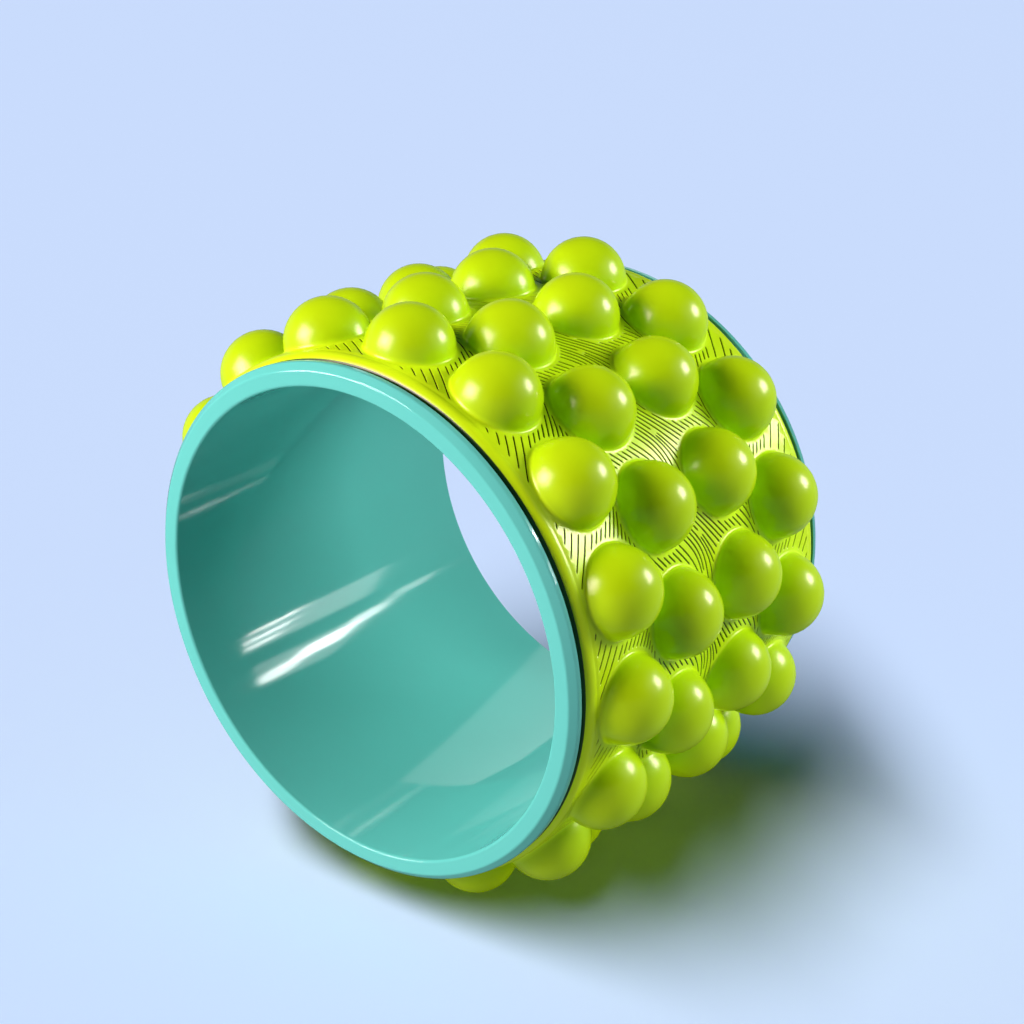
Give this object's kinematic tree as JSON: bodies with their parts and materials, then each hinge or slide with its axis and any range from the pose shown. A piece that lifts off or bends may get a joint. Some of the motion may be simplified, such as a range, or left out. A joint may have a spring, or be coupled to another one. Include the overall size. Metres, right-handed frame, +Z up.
{
  "type": "back roller wheel",
  "caption": "Wide hollow wheel for rolling the back: rigid open tube with rims, wrapped in a soft sleeve with staggered rows of round massage domes.",
  "frame": {"origin": "centre of the wheel, on the rolling axis, halfway between the two rim faces", "axes": "+Y along the rolling axis, +Z up, with four domes on the floor below the centre"},
  "size_m": [0.2688, 0.185, 0.2688],
  "materials": {
    "tube_plastic": "glossy moulded plastic, blue-green",
    "glue": "set contact glue, cream",
    "sleeve_elastomer": "glossy soft elastomer, lime green, finely grooved between the domes"
  },
  "bodies": {
    "root": {"inner_tube": "tube_plastic", "glue_film": "glue", "massage_sleeve": "sleeve_elastomer"}
  },
  "joints": []
}
